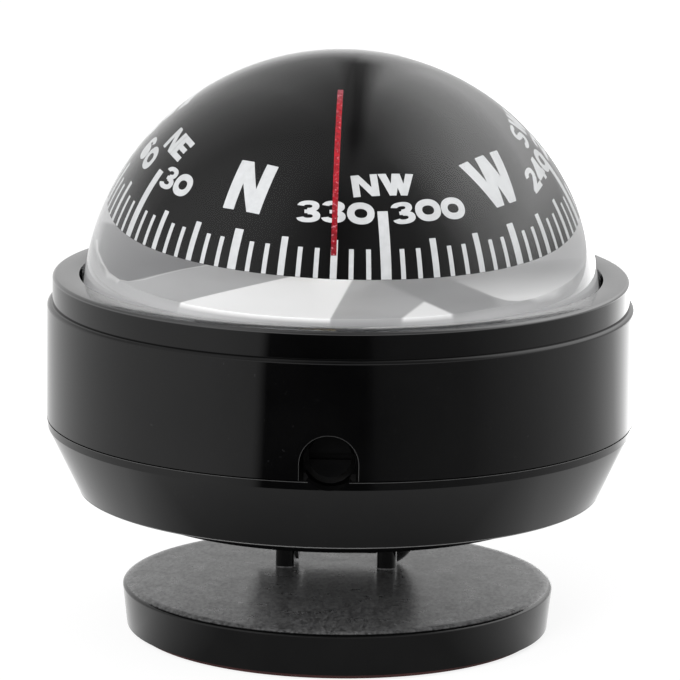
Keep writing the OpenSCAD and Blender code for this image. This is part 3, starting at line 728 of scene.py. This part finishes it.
bezel_profile = [
    (BEZEL_IN_R, BEZEL_FOOT_Z),
    (BEZEL_SEAT_R, BEZEL_FOOT_Z),
    (BEZEL_SEAT_R, RING_TOP_Z),
    (BEZEL_R, RING_TOP_Z),
]
bezel_profile += arc_mm(BEZEL_R - BEZEL_ROUND, BEZEL_TOP_Z - BEZEL_ROUND, BEZEL_ROUND, 0, 90)
bezel_profile += arc_mm(
    BEZEL_IN_R + BEZEL_IN_ROUND, BEZEL_TOP_Z - BEZEL_IN_ROUND, BEZEL_IN_ROUND, 90, 180, steps=6
)
bezel_body = lathe("bezel_turned", bezel_profile, bezel_black, steps=480)
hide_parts("bezel_ring")
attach(bezel_body, "housing")

# The hidden side of the ring's edge lies this far under its skin
EDGE_TUCK = 0.2

edge_z = RING_TOP_Z - RING_ROUND
edge_profile = [(RING_R - EDGE_TUCK, edge_z - EDGE_TUCK / 2), (RING_R, edge_z)]
edge_profile += arc_mm(RING_R - RING_ROUND, edge_z, RING_ROUND, 5, 90)
edge_profile += [(RING_R - RING_ROUND - EDGE_TUCK / 4, RING_TOP_Z - EDGE_TUCK)]
edge_body = lathe("ring_edge_turned", edge_profile, gloss_black, steps=720)
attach(edge_body, "housing")


# Beads along the notch, the seam under the ring and the bowl's edge, coloured lighter as painted highlights,
# and a black one as the seam's painted shadow

BEAD_R = 0.05
BEAD_SIDES = 8
SIGHT_HALF = 2.3


def bead(name, path, material, radius=BEAD_R, skin=RING_R):
    """A thin round bead just inside radius skin, along (degrees round the axis, height) points."""
    points = [Vector(on_circle(skin - radius, math.radians(a), z)) for a, z in path]
    turns = [math.radians(360 / BEAD_SIDES * k) for k in range(BEAD_SIDES)]
    bm = bmesh.new()
    rings = []
    for i, point in enumerate(points):
        along = (points[min(i + 1, len(points) - 1)] - points[max(i - 1, 0)]).normalized()
        out = Vector((point.x, point.y, 0)).normalized()
        out = (out - along * out.dot(along)).normalized()
        across = along.cross(out)
        spokes = [out * math.cos(t) + across * math.sin(t) for t in turns]
        rings.append([bm.verts.new((point + spoke * radius) * MM) for spoke in spokes])
    for low, high in zip(rings, rings[1:]):
        for k in range(BEAD_SIDES):
            m = (k + 1) % BEAD_SIDES
            bm.faces.new([low[k], low[m], high[m], high[k]])
    bm.faces.new(rings[0])
    bm.faces.new(rings[-1])
    mesh = mesh_from(name, bm, smooth_deg=60)
    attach(mesh_object(name, mesh, material), "housing")


def aside(x):
    """Degrees from the front at which the ring's surface stands x to the side."""
    return math.degrees(math.asin(x / RING_R))


def arch_path(leg_steps=6, bow_steps=48):
    """Up one leg of the notch, round its arch and down the other leg."""
    leg = ARCH_Z - SEAM_Z
    turns = [math.pi * k / bow_steps for k in range(bow_steps + 1)]
    up = [(-ARCH_R, SEAM_Z + leg * k / leg_steps) for k in range(leg_steps)]
    over = [(-ARCH_R * math.cos(t), ARCH_Z + ARCH_R * math.sin(t)) for t in turns]
    down = [(ARCH_R, ARCH_Z - leg * k / leg_steps) for k in range(1, leg_steps + 1)]
    return [(AXIS_FRONT + aside(x), z) for x, z in up + over + down]


def seam_path(half_gap, height, steps=480):
    """Round the ring from one side of the front opening to the other."""
    start = AXIS_FRONT + aside(half_gap)
    sweep = 360 - 2 * aside(half_gap)
    return [(start + sweep * k / steps, height) for k in range(steps + 1)]


# the lighter beads are painted highlights, the black one is the seam's painted shadow
bead("arch_highlight_bead", arch_path(), painted_edge_highlight)
bead("seam_shadow", seam_path(ARCH_R, SEAM_Z - 0.06), gap_shadow, radius=0.07)
bead("seam_highlight_bead", seam_path(SIGHT_HALF, SEAM_Z - 0.18), painted_edge_highlight, radius=0.04)
bead("bowl_edge_highlight_bead", seam_path(0.0, BOWL_Z + 0.12), painted_bright_highlight, radius=0.06, skin=BOWL_FOOT_R + 0.05)


# Signs of the card's printing: outlines of height 1, which overlap where strokes meet


def bar(p, q, width):
    """A straight stroke from p to q."""
    dx, dy = q[0] - p[0], q[1] - p[1]
    length = math.hypot(dx, dy)
    nx, ny = -dy / length * width / 2, dx / length * width / 2
    right_side = [(p[0] - nx, p[1] - ny), (q[0] - nx, q[1] - ny)]
    left_side = [(q[0] + nx, q[1] + ny), (p[0] + nx, p[1] + ny)]
    return [right_side + left_side]


def block(x0, y0, x1, y1):
    return [[(x0, y0), (x1, y0), (x1, y1), (x0, y1)]]


def bow(centre, radii, stroke, start, end, power=2.3, steps=28):
    """Part of a squarish ring as a strip of quads, from start to end degrees.

    radii are its outer ones along x and y, and stroke its widths there.
    """

    def point(t, a, b):
        c, s = math.cos(t), math.sin(t)
        return (
            centre[0] + a * math.copysign(abs(c) ** (2 / power), c),
            centre[1] + b * math.copysign(abs(s) ** (2 / power), s),
        )

    outer = radii
    inside = (radii[0] - stroke[0], radii[1] - stroke[1])
    strip = []
    for k in range(steps):
        t0 = math.radians(start + (end - start) * k / steps)
        t1 = math.radians(start + (end - start) * (k + 1) / steps)
        strip.append([point(t0, *inside), point(t0, *outer), point(t1, *outer), point(t1, *inside)])
    return strip


SIGNS = {
    "0": (1.20, bow((0.60, 0.50), (0.60, 0.50), (0.32, 0.29), 0, 360, power=2.2, steps=48)),
    "1": (0.62, block(0.26, 0, 0.58, 1) + [[(0.0, 0.62), (0.27, 0.72), (0.27, 1.0), (0.0, 0.84)]]),
    "2": (
        1.06,
        bow((0.52, 0.69), (0.51, 0.31), (0.31, 0.22), -35, 175)
        + bar((0.86, 0.56), (0.16, 0.13), 0.27)
        + block(0.0, 0.0, 1.04, 0.23),
    ),
    "3": (
        1.06,
        bow((0.49, 0.735), (0.49, 0.265), (0.30, 0.185), -95, 168)
        + bow((0.51, 0.285), (0.53, 0.285), (0.32, 0.2), -168, 95)
        + block(0.34, 0.42, 0.66, 0.58),
    ),
    "4": (
        1.14,
        block(0.66, 0.0, 0.96, 1.0)
        + block(0.02, 0.17, 1.13, 0.39)
        + [[(0.02, 0.36), (0.30, 0.36), (0.78, 0.86), (0.78, 1.0), (0.60, 1.0)]],
    ),
    "5": (
        1.06,
        block(0.12, 0.78, 0.98, 1.0)
        + block(0.10, 0.44, 0.38, 1.0)
        + bow((0.51, 0.33), (0.53, 0.33), (0.32, 0.21), -168, 128),
    ),
    "6": (
        1.12,
        bow((0.56, 0.335), (0.55, 0.335), (0.31, 0.2), 0, 360, power=2.2, steps=40)
        + bow((0.57, 0.5), (0.57, 0.5), (0.32, 0.22), 48, 215),
    ),
    "E": (
        0.98,
        block(0, 0, 0.32, 1)
        + block(0, 0, 0.96, 0.24)
        + block(0, 0.39, 0.88, 0.61)
        + block(0, 0.76, 0.96, 1),
    ),
    "S": (
        1.06,
        bow((0.53, 0.72), (0.50, 0.28), (0.31, 0.19), 20, 275)
        + bow((0.53, 0.285), (0.53, 0.285), (0.32, 0.2), -165, 92)
        + block(0.38, 0.41, 0.70, 0.60),
    ),
}


def letter_n(narrow):
    width, stem = (0.79, 0.24) if narrow else (1.10, 0.30)
    slant = stem * 1.12
    diagonal = [(0, 1), (width - slant, 0), (width, 0), (slant, 1)]
    return width, block(0, 0, stem, 1) + block(width - stem, 0, width, 1) + [diagonal]


def letter_w(narrow):
    width, top, foot = (1.26, 0.27, 0.22) if narrow else (1.52, 0.34, 0.28)
    mid = width / 2
    low = width * 0.345
    half = top / 2
    legs = [
        [(0, 1), (low - foot / 2, 0), (low + foot / 2, 0), (top, 1)],
        [(low - foot / 2, 0), (low + foot / 2, 0), (mid + half, 1), (mid - half, 1)],
    ]
    return width, legs + [[(width - px, py) for px, py in leg] for leg in legs]


def glyph(sign, narrow=False):
    """(width, outlines) of a sign of height 1."""
    if sign == "N":
        return letter_n(narrow)
    if sign == "W":
        return letter_w(narrow)
    return SIGNS[sign]


def text_outlines(text, height, gap=0.03, narrow=False):
    """Outlines of a short text, centred on its own middle, of a height in millimetres."""
    shapes, x = [], 0.0
    for sign in text:
        width, parts = glyph(sign, narrow)
        shapes += [[(x + px, py) for px, py in part] for part in parts]
        x += width + gap
    x -= gap
    return [[((px - x / 2) * height, (py - 0.5) * height) for px, py in part] for part in shapes]


# The printing, laid on the card's sphere

# Heights of the ink's face and of its sunk underside over the card, in millimetres
INK_TOP = 0.035
INK_FOOT = -0.02


def counter_clockwise(outline):
    area = sum(a[0] * b[1] - b[0] * a[1] for a, b in zip(outline, outline[1:] + outline[:1]))
    return outline if area > 0 else outline[::-1]


def flat_triangles(outlines, step=0.7, merge=1e-5):
    """Union of the outlines as points and triangles, with extra points so that it can bend."""
    points, faces = [], []
    for outline in outlines:
        outline = counter_clockwise(outline)
        start = len(points)
        for p, q in zip(outline, outline[1:] + outline[:1]):
            parts = max(1, math.ceil(math.dist(p, q) / step))
            dx, dy = q[0] - p[0], q[1] - p[1]
            points += [Vector((p[0] + dx * k / parts, p[1] + dy * k / parts)) for k in range(parts)]
        faces.append(list(range(start, len(points))))
    low_x, high_x = min(p.x for p in points), max(p.x for p in points)
    low_y, high_y = min(p.y for p in points), max(p.y for p in points)
    # the grid of extra points leans a little, so that its rows don't run along an outline's edge
    lean_x, lean_y = 0.013, 0.017
    for i in range(1, int((high_x - low_x) / step)):
        for j in range(1, int((high_y - low_y) / step)):
            points.append(Vector((low_x + i * step + lean_x * j, low_y + j * step + lean_y * i)))
    out = delaunay_2d_cdt(points, [], faces, 1, merge)
    return out[0], out[2]


def on_card(heading, height, x, y, lift):
    """A point x, y of a mark whose centre is at a heading, at a height over the card's edge."""
    turn = math.radians(AXIS_FRONT - heading)
    rise = (CARD_EDGE_Z - CARD_Z + height) / CARD_R
    flat = math.sqrt(1 - rise * rise)
    centre = Vector((flat * math.cos(turn), flat * math.sin(turn), rise))
    east = Vector((-math.sin(turn), math.cos(turn), 0))
    north = centre.cross(east)
    way = (centre * CARD_R + east * x + north * y).normalized()
    return (way * (CARD_R + lift) + Vector((0, 0, CARD_Z))) * MM


def lay_marks(name, marks, material):
    """One object of thin closed plates: marks is a list of (heading, height, outlines)."""
    bm = bmesh.new()
    for heading, height, outlines in marks:
        points, triangles = flat_triangles(outlines)
        top = [bm.verts.new(on_card(heading, height, p[0], p[1], INK_TOP)) for p in points]
        low = [bm.verts.new(on_card(heading, height, p[0], p[1], INK_FOOT)) for p in points]
        edges = {}
        for tri in triangles:
            bm.faces.new([top[i] for i in tri])
            bm.faces.new([low[i] for i in reversed(tri)])
            for a, b in zip(tri, tri[1:] + tri[:1]):
                edges[(a, b)] = edges.get((a, b), 0) + 1
        for a, b in edges:
            if (b, a) not in edges:
                bm.faces.new([top[b], top[a], low[a], low[b]])
    bmesh.ops.delete(bm, geom=[v for v in bm.verts if not v.link_faces], context="VERTS")
    mesh = mesh_from(name, bm)
    obj = mesh_object(name, mesh, material)
    pose = (
        Matrix.Translation((0, 0, PIVOT_Z * MM))
        @ Euler((math.radians(CARD_PITCH), math.radians(CARD_ROLL), 0)).to_matrix().to_4x4()
        @ Matrix.Rotation(math.radians(PRINT_HEADING), 4, "Z")
        @ Matrix.Translation((0, 0, -PIVOT_Z * MM))
    )
    mesh.transform(pose)
    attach(obj, "card")


# (degrees between lines, height of a line's top over the card's edge, width), the rarest first
TICK_STEP = 5
TICK_FOOT = 0.03
TICKS = ((90, 4.0, 0.97), (45, 6.6, 1.1), (15, 3.85, 0.7), (TICK_STEP, 3.0, 0.5))


def tick(heading):
    """(top, width) of the line at a heading."""
    return next((top, width) for step, top, width in TICKS if heading % step == 0)


def tick_outline(top, width, mid):
    """A line from the card's edge up to a height, as an outline about its own middle."""

    def along(h):
        base = math.asin((CARD_EDGE_Z - CARD_Z + mid) / CARD_R)
        return CARD_R * math.tan(math.asin((CARD_EDGE_Z - CARD_Z + h) / CARD_R) - base)

    return block(-width / 2, along(TICK_FOOT), width / 2, along(top))


NUMBERS = {str(n): n for n in (30, 60, 120, 150, 210, 240, 300, 330)}
MAIN_POINTS = {"N": 0, "E": 90, "S": 180, "W": 270}
HALF_POINTS = {"NE": 45, "SE": 135, "SW": 225, "NW": 315}

# Degrees by which a label is set off its own heading, to stand where the photo shows it
PRINT_SHIFT = {
    "N": 1.6, "NE": 3.2, "W": -2.6, "SW": -3.2, "NW": -1.6,
    "30": 3.2, "60": 3.2, "240": -3.4, "300": -1.1, "330": 0.2,
}


def labels(headings, height, size, narrow=False):
    """Marks of the texts at their headings, at a height over the card's edge."""
    return [
        (heading + PRINT_SHIFT.get(text, 0), height, text_outlines(text, size, narrow=narrow))
        for text, heading in headings.items()
    ]


ticks = []
for heading in range(0, 360, TICK_STEP):
    top, width = tick(heading)
    ticks.append((heading, top / 2, tick_outline(top, width, top / 2)))
lay_marks("card_ticks", ticks, white_ink)
lay_marks("card_numbers", labels(NUMBERS, height=6.5, size=2.4), white_ink)
main_labels = labels(MAIN_POINTS, height=8.0, size=5.6, narrow=True)
half_labels = labels(HALF_POINTS, height=9.0, size=2.52)
lay_marks("card_letters", main_labels + half_labels, white_ink)


# Stage: floor, a dark field that only reflections see, lights and background, in metres

FLOOR_HALF = 4
FLAG_R = 0.8
FLAG_Z = 0.0004


def plane(name, corners, material):
    mesh = bpy.data.meshes.new(name)
    mesh.from_pydata([Vector(c) for c in corners], [], [tuple(range(len(corners)))])
    obj = mesh_object(name, mesh, material)
    return obj


def studio_floor_material():
    """Pale floor that partly glows, so that the object's shadow stays faint."""
    mat, tree, out = new_material("studio_floor")
    diffuse = add(tree, "ShaderNodeBsdfDiffuse")
    diffuse.inputs["Color"].default_value = (0.93, 0.93, 0.93, 1)
    glow = add(tree, "ShaderNodeEmission")
    glow.inputs["Strength"].default_value = 1.17
    mix_shaders(tree, 0.7, diffuse, glow, out)
    return mat


def flag_material(name, build):
    """A glowing surface whose brightness is the field that build(tree, where) returns."""
    mat, tree, out = new_material(name)
    coord = add(tree, "ShaderNodeTexCoord")
    strength = build(tree, coord.outputs["Object"])
    glow = add(tree, "ShaderNodeEmission")
    tree.links.new(strength, glow.inputs["Strength"])
    tree.links.new(glow.outputs[0], out.inputs[0])
    return mat


def only_reflected(obj):
    obj.visible_camera = False
    obj.visible_diffuse = False
    obj.visible_transmission = False
    obj.visible_shadow = False
    obj.visible_volume_scatter = False


# Brightness of the floor that the black surfaces mirror, by the degrees from the front, right positive
MIRRORED_TONES = [
    (-180, 1.0), (-110, 1.0), (-60, 0.97), (-45, 0.92), (-29, 0.74), (-27.5, 0.70), (-24.0, 0.0),
    (12.0, 0.0), (14.5, 0.11), (20, 0.15), (48, 0.29), (84, 0.8), (105, 1.0), (125, 1.4),
    (140, 2.4), (160, 3.2), (180, 3.2),
]

# Distances from the axis over which the floor near the foot, dimmed as a painted shadow of the object,
# brightens outwards between two tones and passes into the tones above, and the degrees over which it
# brightens sideways
NEAR_M = (0.036, 0.050)
NEAR_SHADOW_TONES = (0.28, 0.80)
BEYOND_M = (0.070, 0.100)
SIDE_DEG = (25, 75)


def radians_of(span):
    return tuple(math.radians(a) for a in span)


def mirrored_floor(tree, where):
    """Dim near the foot as a painted shadow of the object, seen only in reflections, and MIRRORED_TONES
    beyond.
    """
    x, y, _ = split_xyz(tree, where)
    angle = angle_from_front(tree, x, y)
    far = tones_around(tree, angle, MIRRORED_TONES)
    length = add(tree, "ShaderNodeVectorMath", operation="LENGTH")
    tree.links.new(where, length.inputs[0])
    reach = length.outputs["Value"]
    sideways = ramp(tree, math_node(tree, "ABSOLUTE", angle), radians_of(SIDE_DEG))
    outwards = ramp(tree, reach, NEAR_M, NEAR_SHADOW_TONES)
    near = math_node(tree, "MAXIMUM", outwards, sideways)
    beyond = ramp(tree, reach, BEYOND_M)
    return plus(tree, times(tree, far, beyond), times(tree, near, minus(tree, 1.0, beyond)))


floor_corners = [
    (-FLOOR_HALF, -FLOOR_HALF, 0),
    (FLOOR_HALF, -FLOOR_HALF, 0),
    (FLOOR_HALF, FLOOR_HALF, 0),
    (-FLOOR_HALF, FLOOR_HALF, 0),
]
plane("studio_floor", floor_corners, studio_floor_material())
flag_corners = [on_circle(FLAG_R, math.radians(a), FLAG_Z) for a in range(0, 360, 10)]
only_reflected(plane("flag_floor", flag_corners, flag_material("flag_floor", mirrored_floor)))


LAMP_AIM = (0, 0, 0.04)

# Place in metres, width in metres and power in watts of each lamp
LAMPS = {
    "key_right": ((0.72, 0.05, 0.70), 0.55, 2.2),
    "fill_left": ((-0.8, -0.35, 0.55), 0.6, 2.4),
    "front": ((-0.30, -0.95, 0.38), 0.5, 5.2),
}


def area_light(name, place, size, power):
    """A soft lamp that lights the object and isn't mirrored in it."""
    data = bpy.data.lights.new(name, "AREA")
    data.shape = "DISK"
    data.size = size
    data.energy = power
    obj = bpy.data.objects.new(name, data)
    bpy.context.scene.collection.objects.link(obj)
    obj.location = place
    obj.rotation_mode = "QUATERNION"
    obj.rotation_quaternion = (Vector(LAMP_AIM) - Vector(place)).to_track_quat("-Z", "Y")
    obj.visible_glossy = False
    obj.visible_transmission = False


for name, lamp in LAMPS.items():
    area_light(name, *lamp)


# Strength of the even light on matt surfaces, and the studio's tones low down and overhead
FILL_STRENGTH = 0.62
LOW_TONE = 1.0
OVERHEAD_TONE = 0.48

# Heights in degrees over which the low tone passes into those around, and these into overhead
LOW_DEG = (8, 22)
OVERHEAD_DEG = (47, 82)

# Brightness of the studio that shiny surfaces mirror, by the degrees from the front, right positive
STUDIO_TONES = [
    (-180, 0.48), (-170, 0.62), (-158, 0.86), (-140, 0.76), (-108, 0.55), (-85, 0.76), (-60, 0.86),
    (-40, 0.66), (-20, 0.32), (0, 0.10), (20, 0.24), (42, 0.32), (60, 0.72), (80, 2.2), (102, 3.0),
    (120, 2.9), (140, 2.4), (160, 1.75), (170, 1.5), (180, 0.6),
]


def white_background(tree, strength):
    node = add(tree, "ShaderNodeBackground")
    node.inputs["Color"].default_value = (1, 1, 1, 1)
    plug(tree, strength, node.inputs["Strength"])
    return node


def light_gap(tree, x, y, z):
    """By how much the gap between the lights, straight behind and overhead, dims a direction."""
    middle = times(tree, times(tree, z, z), 0.065)
    off = math_node(tree, "ABSOLUTE", minus(tree, x, middle))
    gap = ramp(tree, off, (0.012, 0.075), (0.72, 0.0))
    gap = times(tree, gap, ramp(tree, y, (-0.35, 0.0)))
    return times(tree, gap, ramp(tree, z, (0.35, 0.50)))


def build_world():
    """Even light for matt surfaces; a white studio with a dim camera side and a softbox for shiny ones."""
    world = bpy.data.worlds.new("studio")
    bpy.context.scene.world = world
    world.use_nodes = True
    tree = world.node_tree
    tree.nodes.clear()
    out = add(tree, "ShaderNodeOutputWorld")
    path = add(tree, "ShaderNodeLightPath")
    seen = math_node(tree, "ADD", path.outputs["Is Camera Ray"], path.outputs["Is Glossy Ray"], clamp=True)
    seen = math_node(tree, "ADD", seen, path.outputs["Is Transmission Ray"], clamp=True)
    x, y, z = split_xyz(tree, add(tree, "ShaderNodeTexCoord").outputs["Generated"])
    around = tones_around(tree, angle_from_front(tree, x, y), STUDIO_TONES)
    height = math_node(tree, "ARCSINE", z)
    tone = mix_value(tree, ramp(tree, height, radians_of(LOW_DEG)), LOW_TONE, around)
    tone = mix_value(tree, ramp(tree, height, radians_of(OVERHEAD_DEG)), tone, OVERHEAD_TONE)
    tone = times(tree, tone, minus(tree, 1.0, light_gap(tree, x, y, z)))
    mix_shaders(tree, seen, white_background(tree, FILL_STRENGTH), white_background(tree, tone), out)


build_world()


# Camera: at the photo's angle, found from the photo's circles, with distances in metres

AZIMUTH = math.radians(1.9)
ELEVATION = math.radians(12.1)
ROLL = math.radians(0.729)
DISTANCE = 0.6168
TARGET = Vector((0, 0, 0.030))
TARGET_BELOW_CENTRE_PX = 35.3
IMAGE_PX = 680
FOCAL_PX = 5305.5
SENSOR_MM = 36

back = Vector(
    (
        math.sin(AZIMUTH) * math.cos(ELEVATION),
        -math.cos(AZIMUTH) * math.cos(ELEVATION),
        math.sin(ELEVATION),
    )
)
right = (-back).cross(Vector((0, 0, 1))).normalized()
up = back.cross(right)
right, up = (
    right * math.cos(ROLL) + up * math.sin(ROLL),
    up * math.cos(ROLL) - right * math.sin(ROLL),
)
tilt = math.atan(TARGET_BELOW_CENTRE_PX / FOCAL_PX)
ahead = -back * math.cos(tilt) + up * math.sin(tilt)
up = up * math.cos(tilt) + back * math.sin(tilt)
camera = bpy.data.cameras.new("camera")
camera.sensor_width = SENSOR_MM
camera.lens = FOCAL_PX * SENSOR_MM / IMAGE_PX
camera.clip_start = 0.02
camera.clip_end = 50
eye = bpy.data.objects.new("camera", camera)
bpy.context.scene.collection.objects.link(eye)
place = TARGET + back * DISTANCE
eye.matrix_world = Matrix(
    (
        (right.x, up.x, -ahead.x, place.x),
        (right.y, up.y, -ahead.y, place.y),
        (right.z, up.z, -ahead.z, place.z),
        (0, 0, 0, 1),
    )
)
bpy.context.scene.camera = eye
bpy.context.scene.view_settings.view_transform = "Standard"
